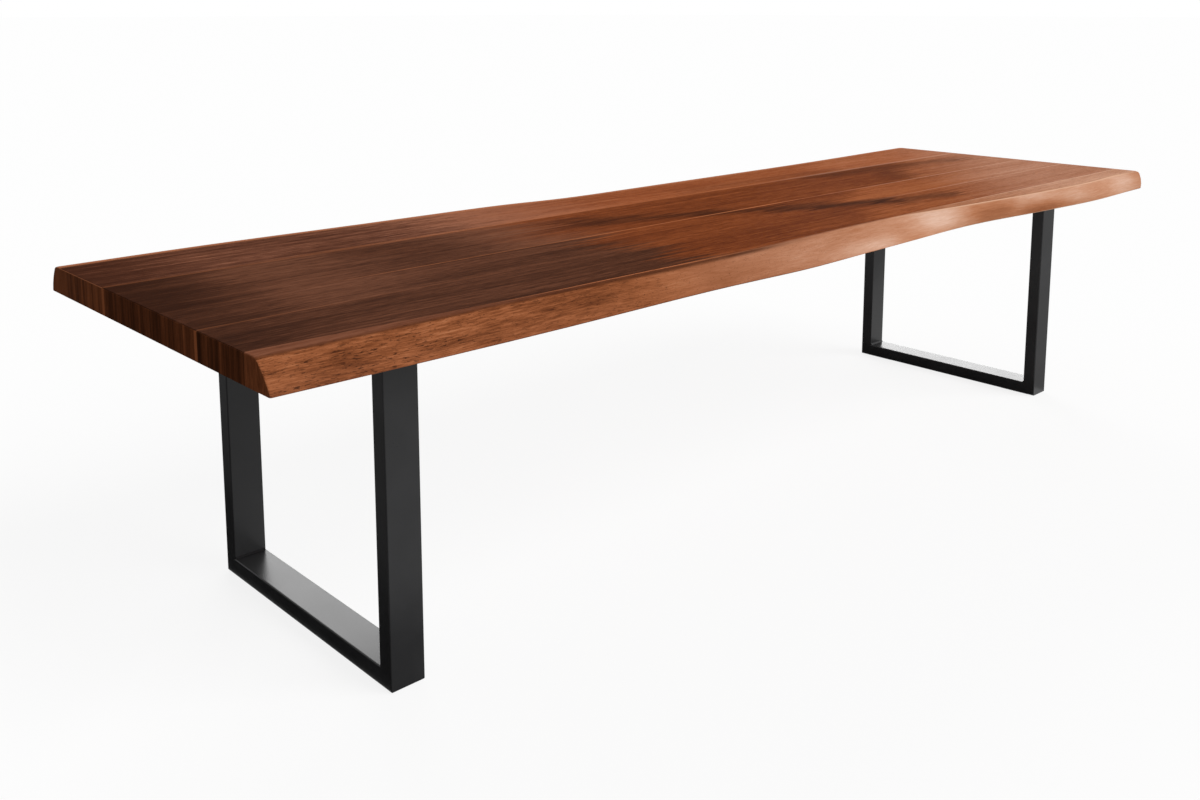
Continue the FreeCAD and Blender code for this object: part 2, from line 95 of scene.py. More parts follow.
class Value:
    """A shader socket that takes part in Python arithmetic; each operator adds its Math node."""

    def __init__(self, graph: "Graph", socket: bpy.types.NodeSocket) -> None:
        """Wraps one output socket of a graph."""
        self.graph = graph
        self.socket = socket

    def maths(self, operation: str, *others: "Value | float", clamp: bool = False) -> "Value":
        """Adds a Math node on this value and others, in this order."""
        settings = {"operation": operation, "use_clamp": clamp}
        return self.graph.node("ShaderNodeMath", settings, dict(enumerate((self, *others))))

    __add__ = __radd__ = partialmethod(maths, "ADD")
    __sub__ = partialmethod(maths, "SUBTRACT")
    __mul__ = __rmul__ = partialmethod(maths, "MULTIPLY")
    __truediv__ = partialmethod(maths, "DIVIDE")
    __pow__ = partialmethod(maths, "POWER")
    larger = partialmethod(maths, "MAXIMUM")
    clamped = partialmethod(maths, "ADD", 0.0, clamp=True)

    def __rsub__(self, other: float) -> "Value":
        """A number less this value."""
        return self.graph.node("ShaderNodeMath", {"operation": "SUBTRACT"}, {0: other, 1: self})

    def distance_from(self, place: float) -> "Value":
        """How far this value lies from a number."""
        return (self - place).maths("ABSOLUTE")

    def rise(self, low: float, high: float) -> "Value":
        """A smooth step from 0 at the low value to 1 at the high one."""
        inputs = {"Value": self, "From Min": low, "From Max": high}
        return self.graph.node("ShaderNodeMapRange", {"interpolation_type": "SMOOTHSTEP"}, inputs)

    def step(self, place: float, blur: float) -> "Value":
        """A smooth step from 0 to 1, which starts a blur before a place and ends a blur behind it."""
        return self.rise(place - blur, place + blur)

    def fall(self, low: float, high: float) -> "Value":
        """A smooth step from 1 at the low value to 0 at the high one."""
        return 1 - self.rise(low, high)

    def within(self, rising: Pair, falling: Pair) -> "Value":
        """1 between a rise and a later fall, each from its start to its end, and 0 on both sides of them."""
        return self.rise(*rising) * self.fall(*falling)

    def stripe(self, middle: float, half_width: float, core: float = 0.3) -> "Value":
        """1 around a middle, out to the core's share of the half width, and 0 beyond the half width."""
        return self.distance_from(middle).fall(half_width * core, half_width)


def largest(values: Iterable[Value]) -> Value:
    """The largest of several values."""
    return reduce(Value.larger, values)


class Graph:
    """The node tree of one material, or of the world."""

    def __init__(self, owner: bpy.types.Material | bpy.types.World) -> None:
        """Empties its owner's node tree, ready for new nodes.

        Args:
            owner: The material or the world.
        """
        owner.use_nodes = True
        self.tree = owner.node_tree
        self.tree.nodes.clear()

    def node(
        self, kind: str, settings: dict | None = None, inputs: dict | None = None, output: str | int = 0
    ) -> Value:
        """Adds one node.

        Args:
            kind: The node's type.
            settings: Its properties, which are set first.
            inputs: Values for its sockets, or links to them, by name or index.
            output: The output socket that is wanted.

        Returns:
            That output socket, ready for arithmetic.
        """
        node = self.tree.nodes.new(kind)
        for name, setting in (settings or {}).items():
            setattr(node, name, setting)
        for name, given in (inputs or {}).items():
            if isinstance(given, Value):
                self.tree.links.new(given.socket, node.inputs[name])
            else:
                node.inputs[name].default_value = given
        return Value(self, node.outputs[output])

    def place(self) -> Value:
        """The shaded point in the table's own frame."""
        return self.node("ShaderNodeTexCoord", output="Object")

    def attribute(self, name: str) -> Value:
        """A number that is stored on the mesh."""
        return self.node("ShaderNodeAttribute", {"attribute_name": name}, output="Fac")

    def parts(self, vector: Value) -> tuple[Value, ...]:
        """The three components of a vector."""
        first = self.node("ShaderNodeSeparateXYZ", inputs={0: vector})
        return tuple(Value(self, output) for output in first.socket.node.outputs)

    def vector(self, x: Value, y: Value, z: Value) -> Value:
        """A vector of three components."""
        return self.node("ShaderNodeCombineXYZ", inputs={0: x, 1: y, 2: z})

    def ramp(self, value: Value, tones: "Tones") -> Value:
        """A colour that follows a value through the tones of a wood.

        Args:
            value: The value, from 0 in the deepest tone to 1 in the palest.
            tones: The tones.

        Returns:
            The colour.
        """
        colour = self.node("ShaderNodeValToRGB", inputs={0: value})
        elements, stops = colour.socket.node.color_ramp.elements, tones.stops()
        while len(elements) < len(stops):
            elements.new(1.0)
        for element, stop in zip(elements, stops):
            element.position, element.color = stop
        return colour

    def blend(self, share: Value, base: Value | Colour, top: Value | Colour, how: str = "MIX") -> Value:
        """One colour laid over another, as far as the share says."""
        settings = {"data_type": "RGBA", "blend_type": how}
        return self.node("ShaderNodeMix", settings, {0: share, 6: base, 7: top}, output=2)

    def layers(self, base: Value, *layers: tuple[Value, Value | Colour]) -> Value:
        """Colours laid over each other.

        Args:
            base: The lowest colour.
            layers: The share of each layer and its colour, from the lowest.

        Returns:
            The colour of them all.
        """
        for share, colour in layers:
            base = self.blend(share, base, colour)
        return base

    def bump(self, height: Value, depth: float, under: Value | None = None) -> Value:
        """A normal that shows a height between 0 and 1 as relief.

        Args:
            height: The height.
            depth: The relief's depth in metres.
            under: A normal that the relief is added to.

        Returns:
            The new normal.
        """
        inputs = {"Height": height, "Distance": depth, "Strength": 1.0}
        if under is not None:
            inputs["Normal"] = under
        return self.node("ShaderNodeBump", None, inputs)

    def surface(self, colour: Value | Colour, roughness: Value | float, **others: Value | float) -> None:
        """Ends the tree in a Principled shader.

        Args:
            colour: The base colour.
            roughness: The roughness.
            others: More of the shader's sockets, named as the shader does, with _ for each space.
        """
        sockets = {name.replace("_", " "): given for name, given in others.items()}
        sockets |= {"Base Color": colour, "Roughness": roughness}
        self.end(self.node("ShaderNodeBsdfPrincipled", None, sockets))

    def end(self, shader: Value, output: str = "ShaderNodeOutputMaterial") -> None:
        """Links a finished shader to the tree's output."""
        node = self.tree.nodes.new(output)
        self.tree.links.new(shader.socket, node.inputs["Surface"])

    def looked_at(self) -> Value:
        """1 for rays from the camera and for those that a gloss or a glass passes on, 0 for the lighting."""
        kinds = ("Camera", "Glossy", "Transmission")
        return largest(self.node("ShaderNodeLightPath", output=f"Is {kind} Ray") for kind in kinds)


@dataclass(frozen=True)
class Waves:
    """Smooth noise of one size, which can be moved to another part of the noise.

    The strength is how far it shifts what it acts on, from its troughs to its crests.
    """

    per_metre: Triple
    detail: float = 2.0
    roughness: float = 0.5
    moved: float = 0.0
    strength: float = 1.0

    def over(self, place: Value, seed: float = 0.0) -> Value:
        """The noise, between 0 and 1.

        Args:
            place: The point that is shaded.
            seed: Moves the pattern to another part of the noise.

        Returns:
            The noise at that point.
        """
        graph, seed = place.graph, seed + self.moved
        inputs = {0: place, 1: self.per_metre, 2: (seed, seed, seed)}
        scaled = graph.node("ShaderNodeVectorMath", {"operation": "MULTIPLY_ADD"}, inputs)
        inputs = {"Vector": scaled, "Scale": 1.0, "Detail": self.detail, "Roughness": self.roughness}
        return graph.node("ShaderNodeTexNoise", None, inputs)

    def shift(self, place: Value, seed: float = 0.0) -> Value:
        """The noise around 0, at its strength."""
        return self.strength * (self.over(place, seed) - 0.5)


# Finishes


class Finish(ABC):
    """A surface finish, which makes its material once."""

    name: str

    @abstractmethod
    def paint(self, graph: Graph) -> None:
        """Builds the finish's nodes in an empty graph."""

    def dress(self, piece: bpy.types.Object) -> None:
        """Makes this the only material of a piece, and makes the material itself for the first piece.

        Args:
            piece: The mesh object.
        """
        material = bpy.data.materials.get(self.name)
        if material is None:
            material = bpy.data.materials.new(self.name)
            self.paint(Graph(material))
        piece.data.materials.clear()
        piece.data.materials.append(material)


@dataclass(frozen=True)
class Coating(Finish):
    """A finish that mixes two colours as its clouds do, or as its relief does where it has no clouds.

    The strengths of the clouds and of the first waves of the relief are how far they change the roughness.
    """

    name: str
    colours: tuple[Colour, Colour]
    mixed_over: Pair
    relief: tuple[Waves, ...]
    depth: float
    roughness: float
    clouds: Waves | None = None
    sockets: dict[str, float] = field(default_factory=dict)

    def paint(self, graph: Graph) -> None:
        """Builds the coating's colour, gloss and relief.

        Args:
            graph: The material's empty graph.
        """
        place = graph.place()
        relief = largest(waves.over(place) for waves in self.relief)
        mixed: Value = relief
        roughness: Value | float = self.roughness
        if self.clouds is not None:
            mixed = self.clouds.over(place)
            roughness = roughness + self.clouds.strength * (mixed - 0.5)
        graph.surface(
            graph.blend(mixed.rise(*self.mixed_over), *self.colours),
            roughness + self.relief[0].strength * (relief - 0.5),
            Normal=graph.bump(relief, self.depth),
            **self.sockets,
        )


POWDER_COAT = Coating(
    "black_powder_coat",
    (screen_colour(35, 35, 36), screen_colour(41, 41, 42)),
    mixed_over=(0.35, 0.75),
    relief=(Waves((420.0, 420.0, 420.0), strength=0.06),),
    depth=0.00004,
    roughness=0.30,
    clouds=Waves((9.0, 9.0, 9.0), 3, strength=0.08),
    sockets={"Specular_IOR_Level": 0.29},
)
ZINC_PLATE = Coating(
    "zinc_plate",
    (screen_colour(142, 143, 138), screen_colour(176, 176, 170)),
    mixed_over=(0.35, 0.65),
    relief=(Waves((260.0, 260.0, 260.0), 4, 0.6, strength=0.2),),
    depth=0.00002,
    roughness=0.44,
    sockets={"Metallic": 1.0},
)
DARK_FELT = Coating(
    "dark_felt",
    (screen_colour(58, 55, 52), screen_colour(92, 88, 83)),
    mixed_over=(0.45, 0.75),
    relief=(
        Waves((1900.0, 420.0, 900.0), 3, 0.7, strength=0.1),
        Waves((420.0, 1900.0, 900.0), 3, 0.7, 4.0),
    ),
    depth=0.0004,
    roughness=0.95,
    sockets={"Specular_IOR_Level": 0.2, "Sheen_Weight": 0.4},
)


@dataclass(frozen=True)
class BirchPly(Finish):
    """Plain birch plywood for the hidden tongues: pale, with thin dark glue layers."""

    name: str = "birch_ply"
    face_colour: Colour = screen_colour(214, 186, 142)
    layer_colour: Colour = screen_colour(170, 132, 88)
    layers_per_metre: float = 700.0
    layer_edge: Pair = (0.55, 0.70)
    layer_share: float = 0.6
    figured_over: Pair = (0.4, 0.8)
    figure: Waves = Waves((4.0, 60.0, 60.0), 4, strength=0.1)
    figure_depth: float = 0.0001
    roughness: float = 0.7

    def paint(self, graph: Graph) -> None:
        """Builds the ply's layers and face grain.

        Args:
            graph: The material's empty graph.
        """
        place = graph.place()
        layers = (graph.parts(place)[2] * self.layers_per_metre).maths("FRACT").rise(*self.layer_edge)
        figure = self.figure.over(place)
        share = layers * self.layer_share + figure.rise(*self.figured_over) * (1 - self.layer_share)
        colour = graph.blend(share, self.face_colour, self.layer_colour)
        roughness = self.roughness + self.figure.strength * figure
        graph.surface(colour, roughness, Normal=graph.bump(figure, self.figure_depth))


# Wood


@dataclass(frozen=True)
class Tones:
    """Colours of one kind of wood, from its dark late growth to its pale early growth."""

    deep: Colour
    brown: Colour
    warm: Colour
    pale: Colour

    def stops(self) -> tuple[tuple[float, Colour], ...]:
        """The stops of a ramp through the tones."""
        return (0.20, self.deep), (0.42, self.brown), (0.58, self.warm), (0.82, self.pale)


def tones(*screen_colours: tuple[int, int, int]) -> Tones:
    """The tones that four 8-bit screen colours give, from the deepest."""
    return Tones(*(screen_colour(*each) for each in screen_colours))


HEARTWOOD = tones((78, 37, 17), (106, 51, 24), (131, 67, 33), (162, 92, 52))
# The next two are the tones of the darker left ends, partly darker wood and partly painted shadow.
SHADOWED_DARK_WOOD = tones((46, 23, 12), (69, 39, 25), (92, 55, 38), (121, 77, 56))
DUSKY_WOOD = tones((50, 25, 15), (72, 40, 27), (104, 63, 46), (162, 106, 80))
# Tones under the soft dark streaks, which are painted shadow.
STREAK_SHADOW_TONES = tones((44, 21, 10), (60, 29, 15), (78, 40, 21), (104, 56, 32))
SHADED_STRIP = tones((78, 41, 25), (94, 52, 33), (110, 64, 43), (128, 79, 56))
# The right end of the top: partly paler wood, partly painted sheen.
PALE_SHEENED_WOOD = tones((148, 94, 66), (170, 114, 86), (183, 129, 102), (201, 153, 127))
ROSY_WOOD = tones((110, 56, 30), (138, 72, 40), (156, 86, 50), (184, 116, 80))
PALE_STRIP = tones((140, 84, 54), (165, 108, 76), (184, 126, 94), (206, 154, 124))
END_GRAIN = tones((46, 23, 12), (66, 34, 18), (88, 47, 26), (122, 69, 41))
BARED_WOOD = tones((88, 46, 26), (132, 76, 45), (158, 95, 60), (192, 130, 90))
# Paler bared wood towards the right end: partly paler wood, partly painted sheen and highlights.
PALE_BARED_WOOD = tones((146, 86, 54), (184, 122, 87), (204, 151, 121), (228, 190, 168))
# The right end of the sapwood strip: partly paler wood, partly painted sheen.
PALE_SHEENED_STRIP = tones((172, 116, 86), (190, 138, 109), (202, 153, 126), (216, 172, 148))
SAPWOOD = screen_colour(196, 118, 74)
PALE_SAPWOOD = screen_colour(218, 172, 145)
END_SAPWOOD = screen_colour(142, 82, 50)
# The wood's own gloss comes from its thin coat of oil alone.
# The sheen towards its right end is painted into its colour instead.
OILED = {"Specular_IOR_Level": 0.0, "Coat_Roughness": 0.35}


@dataclass(frozen=True)
class ShadowStreak:
    """A soft painted shadow that lies across the top as a dark streak, along a line from its start to its
    end.

    Places are (along, across) the table from its middle; the half width is where the streak has faded out.
    """

    start: Pair
    end: Pair
    half_width: float
    strength: float

    def mask(self, along: Value, across: Value) -> Value:
        """How much of the streak lies at a place.

        Args:
            along: The place's X.
            across: The place's Y.

        Returns:
            The streak's strength in its middle, and 0 beyond its half width.
        """
        run, climb = self.end[0] - self.start[0], self.end[1] - self.start[1]
        squared = run * run + climb * climb
        ahead, aside = along - self.start[0], across - self.start[1]
        share = (ahead * (run / squared) + aside * (climb / squared)).clamped()
        ahead, aside = ahead - share * run, aside - share * climb
        return self.strength * ((ahead * ahead + aside * aside) ** 0.5).fall(0.0, self.half_width)


# Painted shadow: soft dark streaks that run across the boards and over their glue joints.
SHADOW_STREAKS = (
    ShadowStreak((-0.500, 0.105), (-0.225, 0.010), 0.085, 0.75),
    ShadowStreak((-0.225, 0.010), (0.250, -0.180), 0.075, 0.90),
    ShadowStreak((0.250, -0.180), (0.470, -0.275), 0.095, 1.00),
    ShadowStreak((0.420, -0.265), (0.730, -0.325), 0.060, 0.60),
    ShadowStreak((0.720, 0.180), (1.220, 0.150), 0.085, 0.55),
    ShadowStreak((1.220, 0.160), (1.520, 0.085), 0.055, 0.45),
    ShadowStreak((1.060, 0.150), (0.960, -0.010), 0.130, 0.40),
    ShadowStreak((-1.090, 0.240), (-1.010, 0.120), 0.170, 0.35),
    ShadowStreak((0.150, 0.262), (0.900, 0.250), 0.070, 0.26),
)


@dataclass(frozen=True)
class PaleLine:
    """A thin pale line along a stretch of the top, where a board's sapwood meets a glue joint."""

    across: float
    half_width: float
    strength: float
    starts: float = -2.0
    ends: float = 2.0
    fade: float = 0.18

    def mask(self, figure: "Figure") -> Value:
        """How much of the line lies at a place."""
        begun, ended = (figure.x.step(place, self.fade) for place in (self.starts, self.ends))
        return self.strength * figure.y.stripe(self.across, self.half_width) * begun * (1 - ended)


PALE_LINES = (
    PaleLine(0.2095, 0.0085, 0.18, ends=-0.9),
    PaleLine(0.2140, 0.0150, 0.20, starts=-1.2),
    PaleLine(0.2115, 0.0038, 0.42, starts=-1.0),
    PaleLine(-0.0680, 0.0034, 0.40, starts=-1.20, ends=-0.65),
    PaleLine(-0.0680, 0.0048, 0.95, starts=-0.65, ends=0.30),
    PaleLine(-0.0680, 0.0040, 0.60, starts=0.30),
    PaleLine(-0.2300, 0.0045, 0.15, ends=-1.40),
    PaleLine(-0.2315, 0.0030, 0.06, starts=-1.40, ends=-0.8),
    PaleLine(-0.2315, 0.0042, 0.60, starts=0.45),
)


@dataclass(frozen=True)
class SapwoodStrip:
    """The strip of sapwood under the near bark, whose inner border wanders across the glue joint.

    Each bend is where it starts and ends along the table, and how far the border has moved by then. The
    dim patch is its middle, its half length and how much darker it is.
    """

    border: float = -0.4095
    bends: tuple[Triple, ...] = ((-1.75, -0.95, -0.028), (-1.00, -0.50, -0.005), (-0.10, 0.45, 0.020))
    blur: float = 0.0008
    plain_over: Pair = (-0.45, 0.10)
    pale_and_sheen_over: Pair = (0.60, 1.30)
    lit_until: Pair = (-1.50, -0.85)
    lit_by: float = 0.17
    dim_patch: Triple = (-0.60, 0.30, 0.04)
    line_middle: float = 0.0024
    line_half_width: float = 0.0030
    line_strength: float = 0.75
    line_from: Pair = (-1.30, -0.75)
    line_gap: Stretch = ((-0.05, 0.35), (0.45, 0.85))
    line_paler_over: Pair = (0.20, 0.60)
    shade_over: Pair = (0.0045, 0.0085)
    shaded: Stretch = ((-1.10, -0.80), (-0.40, -0.05))
    shade_strength: float = 0.70
    shade_colour: Colour = screen_colour(94, 52, 30)
    end_tone: float = 0.67
    end_blur: float = 0.0005
    end_bar_strength: float = 0.5
    end_line_strength: float = 0.6
    joint_half_width: float = 0.0020
    joint_strength: float = 0.7

    def depth(self, figure: "Figure") -> Value:
        """How far a place lies inside the strip, in metres; below zero outside it."""
        moves = (moved * figure.x.rise(starts, ends) for starts, ends, moved in self.bends)
        return sum(moves, self.border) - figure.y

    def lay(self, figure: "Figure", wood: Value) -> Value:
        """Lays the strip over the wood of the sawn faces.

        Args:
            figure: The board's growth pattern.
            wood: The colour outside the strip.

        Returns:
            The colour of the sawn faces with the strip on them.
        """
        graph, x, depth = figure.graph, figure.x, self.depth(figure)
        middle, half_length, dimmer = self.dim_patch
        tone = figure.tone + self.lit_by * x.fall(*self.lit_until)
        tone = tone - dimmer * x.distance_from(middle).fall(0.0, half_length)
        shade = depth.rise(*self.shade_over) * x.within(*self.shaded)
        strip = graph.layers(
            graph.ramp(tone, SHADED_STRIP),
            (x.rise(*self.plain_over), graph.ramp(tone, PALE_STRIP)),
            (x.rise(*self.pale_and_sheen_over), graph.ramp(tone, PALE_SHEENED_STRIP)),
            (shade * self.shade_strength, self.shade_colour),
        )
        line = self.line_strength * depth.stripe(self.line_middle, self.line_half_width)
        line = line * x.rise(*self.line_from) * (1 - x.within(*self.line_gap))
        # The line turns paler towards the right end, with the painted sheen there.
        line_colour = graph.blend(x.rise(*self.line_paler_over), SAPWOOD, PALE_SAPWOOD)
        return graph.layers(wood, (depth.step(0.0, self.blur), strip), (line, line_colour))

    def lay_end(self, figure: "Figure", wood: Value, bars: Value) -> Value:
        """Lays the strip's evener end grain over the end grain of the boards.

        Args:
            figure: The board's growth pattern.
            wood: The colour outside the strip.
            bars: The upright bars of the end grain, around 0.

        Returns:
            The colour of the end grain with the strip on it.
        """
        graph, depth = figure.graph, self.depth(figure)
        tone = self.end_tone + self.end_bar_strength * bars + self.end_line_strength * (figure.lines - 0.5)
        strip = graph.ramp(tone, END_GRAIN)
        joint = depth.stripe(0.0, self.joint_half_width) * self.joint_strength
        return graph.layers(wood, (depth.step(0.0, self.end_blur), strip), (joint, END_GRAIN.deep))


@dataclass(frozen=True)
class Blotch:
    """A soft patch on the bared outer face, partly the wood's own tone: a painted highlight where its
    strength is above zero, and painted shade where it is below.
    """

    along: float
    height: float
    half_length: float
    half_height: float
    strength: float

    def mask(self, along: Value, height: Value) -> Value:
        """The strength in the patch's middle, and 0 outside it."""
        across, up = (along - self.along) / self.half_length, (height - self.height) / self.half_height
        return self.strength * ((across * across + up * up) ** 0.5).fall(0.0, 1.0)


# Patches on the bared face: pale ones are painted highlights, dark ones painted shade, over the wood's own
# tone.
BLOTCHES = (
    Blotch(-1.52, 0.722, 0.20, 0.060, -0.10),
    Blotch(-1.24, 0.728, 0.16, 0.030, -0.12),
    Blotch(-1.02, 0.750, 0.24, 0.075, -0.16),
    Blotch(-0.66, 0.740, 0.18, 0.050, 0.12),
    Blotch(-0.26, 0.745, 0.30, 0.050, 0.10),
    Blotch(0.02, 0.722, 0.26, 0.028, 0.26),
    Blotch(0.39, 0.752, 0.20, 0.055, 0.30),
    Blotch(0.64, 0.732, 0.20, 0.060, -0.18),
    Blotch(0.88, 0.764, 0.22, 0.024, 0.18),
    Blotch(0.96, 0.718, 0.26, 0.032, -0.22),
    Blotch(1.16, 0.745, 0.20, 0.060, 0.10),
    Blotch(1.46, 0.745, 0.22, 0.060, 0.22),
)


class Figure:
    """The growth pattern of one board, which runs through it from face to face."""

    def __init__(self, graph: Graph, wood: "BoardWood") -> None:
        """Makes the pattern's waves, from the broad bars to the pores.

        Args:
            graph: The material's graph.
            wood: The wood that the waves belong to.
        """
        self.graph = graph
        self.place = place = graph.place()
        self.x, self.y, self.z = graph.parts(place)
        self.end = self.x.distance_from(0.0).rise(wood.end_face, wood.end_face + wood.end_blur)
        seed = wood.seed
        across = self.y + wood.sway.shift(place, seed) + wood.ripple.shift(place, seed)
        self.swayed = swayed = graph.vector(self.x, across, self.z)
        self.lines = wood.lines.over(swayed, seed)
        self.pores = wood.pores.over(swayed, seed).rise(0.59, 0.70)
        broad = sum(waves.shift(swayed, seed) for waves in (wood.bars, wood.bands, wood.grain))
        lines = wood.lines.strength * (self.lines - 0.5)
        self.tone = 0.5 + wood.tone_shift + broad + lines + wood.threads.shift(swayed, seed)
        drift = wood.drift.over(place) - 0.5
        self.along = self.x + drift * wood.drift_along + wood.feather.shift(place)
        self.across = self.y + drift * wood.drift_across


@dataclass(frozen=True)
class BoardWood(Finish):
    """Oiled brown boards, straight grained, with growth bars that run through to the end grain."""

    name: str
    seed: float
    tones: Tones = HEARTWOOD
    tone_shift: float = 0.0
    light_from: float = 0.50
    light_fade: float = 0.20
    light: float = 0.20
    pale_and_sheen_over: Pair = (0.92, 1.66)
    head_end: float = -0.55
    head_fade: float = 0.07
    head_strength: float = 0.95
    head_tones: Tones = SHADOWED_DARK_WOOD
    head_glows: tuple[Triple, ...] = ((-1.30, 0.30, 0.16),)
    head_end_shade: float = 0.20
    head_end_shaded: Pair = (-1.66, -1.36)
    pale_lines_over: Pair = (0.30, 1.00)
    end_tone: float = 0.48
    end_line_strength: float = 0.25
    even_end_from: float = 1.0
    even_end_blur: float = 0.005
    even_end_tone: float = 0.06
    even_end_calm: float = 1.1
    end_face: float = 1.6490
    end_blur: float = 0.0006
    end_lines: tuple[Pair, ...] = ((0.2060, 0.0075), (-0.2270, 0.0070))
    end_lines_core: float = 0.6
    end_lines_strength: float = 0.8
    strip: SapwoodStrip | None = None
    roughness: float = 0.48
    line_roughness: float = 0.16
    pore_roughness: float = 0.12
    oil: float = 0.012
    line_depth: float = 0.00010
    pore_depth: float = 0.00020
    pore_shade: float = 0.42
    sway: Waves = Waves((1.1, 3.0, 1.0), strength=0.030)
    ripple: Waves = Waves((5.0, 16.0, 5.0), moved=3, strength=0.00375)
    bars: Waves = Waves((0.9, 34.0, 1.2), 3, 0.6, strength=0.34)
    bands: Waves = Waves((1.3, 11.0, 1.0), 3, 0.55, 7, 0.26)
    grain: Waves = Waves((2.4, 95.0, 8.0), 3, 0.6, 9, 0.36)
    lines: Waves = Waves((13.0, 210.0, 40.0), 5, 0.62, strength=0.60)
    threads: Waves = Waves((30.0, 560.0, 110.0), 3, 0.6, 5, 0.60)
    pores: Waves = Waves((38.0, 520.0, 160.0))
    end_bars: Waves = Waves((0.3, 42.0, 1.5), 6, 0.74, 13, 1.4)
    unevenness: Waves = Waves((1.5, 1.0, 1.0), 3, moved=11)
    drift: Waves = Waves((1.6, 11.0, 1.0), 5, 0.62, 2)
    drift_along: float = 0.30
    drift_across: float = 0.045
    feather: Waves = Waves((1.4, 75.0, 1.0), 3, 0.6, 6, 0.42)

    def head(self, figure: Figure) -> Value:
        """The dark heartwood that fills the left end of the board, with painted shadow laid over it."""
        return self.head_strength * (1 - figure.along.step(self.head_end, self.head_fade))

    def pale_lines(self, figure: Figure) -> Value:
        """The pale lines at the glue joints, between 0 and 1."""
        uneven = self.unevenness.over(figure.place).rise(0.25, 0.65)
        return largest(line.mask(figure) for line in PALE_LINES) * (0.5 + 0.5 * uneven)

    def sawn_colour(self, figure: Figure) -> Value:
        """The colour of the sawn faces: heartwood with painted light, its darker left end with painted
        shadow, painted shadow streaks, and the right end, paler and with painted sheen.

        Args:
            figure: The board's growth pattern.

        Returns:
            The colour along and across the grain.
        """
        graph, slant = figure.graph, figure.along - figure.across
        lit = figure.tone + self.light * slant.rise(self.light_from, self.light_from + self.light_fade)
        glow = figure.tone - self.head_end_shade * figure.x.fall(*self.head_end_shaded)
        for middle, half_length, strength in self.head_glows:
            glow = glow + strength * figure.x.distance_from(middle).fall(0.0, half_length)
        streaks = largest(streak.mask(figure.along, figure.across) for streak in SHADOW_STREAKS)
        # The pale lines turn paler towards the right end, with the painted sheen there.
        line_colour = graph.blend(figure.x.rise(*self.pale_lines_over), SAPWOOD, PALE_SAPWOOD)
        wood = graph.layers(
            graph.ramp(lit, self.tones),
            (slant.rise(*self.pale_and_sheen_over), graph.ramp(figure.tone, PALE_SHEENED_WOOD)),
            (self.head(figure), graph.ramp(glow, self.head_tones)),
            (streaks, graph.ramp(figure.tone, STREAK_SHADOW_TONES)),
            (self.pale_lines(figure), line_colour),
        )
        if self.strip is not None:
            wood = self.strip.lay(figure, wood)
        return graph.blend(figure.pores * self.pore_shade, wood, self.tones.deep, "MULTIPLY")

    def end_colour(self, figure: Figure) -> Value:
        """The colour of the end grain: dark, with upright bars where the growth rings come out.

        Args:
            figure: The board's growth pattern.

        Returns:
            The colour, with the pale sapwood beside two of the glue joints.
        """
        graph, y = figure.graph, figure.y
        bars = self.end_bars.over(figure.swayed, self.seed) - 0.5
        even = y.step(self.even_end_from, self.even_end_blur)
        tone = self.end_tone + (self.end_bars.strength - self.even_end_calm * even) * bars
        tone = tone + self.end_line_strength * (figure.lines - 0.5) + self.even_end_tone * even
        wood = graph.ramp(tone, END_GRAIN)
        if self.strip is not None:
            wood = self.strip.lay_end(figure, wood, bars)
        lines = largest(y.stripe(*line, self.end_lines_core) for line in self.end_lines)
        return graph.blend(lines * self.end_lines_strength, wood, END_SAPWOOD)

    def colour(self, figure: Figure) -> Value:
        """The colour of all the sawn faces."""
        return figure.graph.blend(figure.end, self.sawn_colour(figure), self.end_colour(figure))

    def paint(self, graph: Graph) -> None:
        """Builds the board's colour, gloss and relief.

        Args:
            graph: The material's empty graph.
        """
        figure = Figure(graph, self)
        fine = self.line_roughness * (figure.lines - 0.5) + self.pore_roughness * figure.pores
        graph.surface(
            self.colour(figure),
            self.roughness + fine,
            Normal=graph.bump(1 - figure.pores, self.pore_depth, graph.bump(figure.lines, self.line_depth)),
            Coat_Weight=self.oil,
            **OILED,
        )


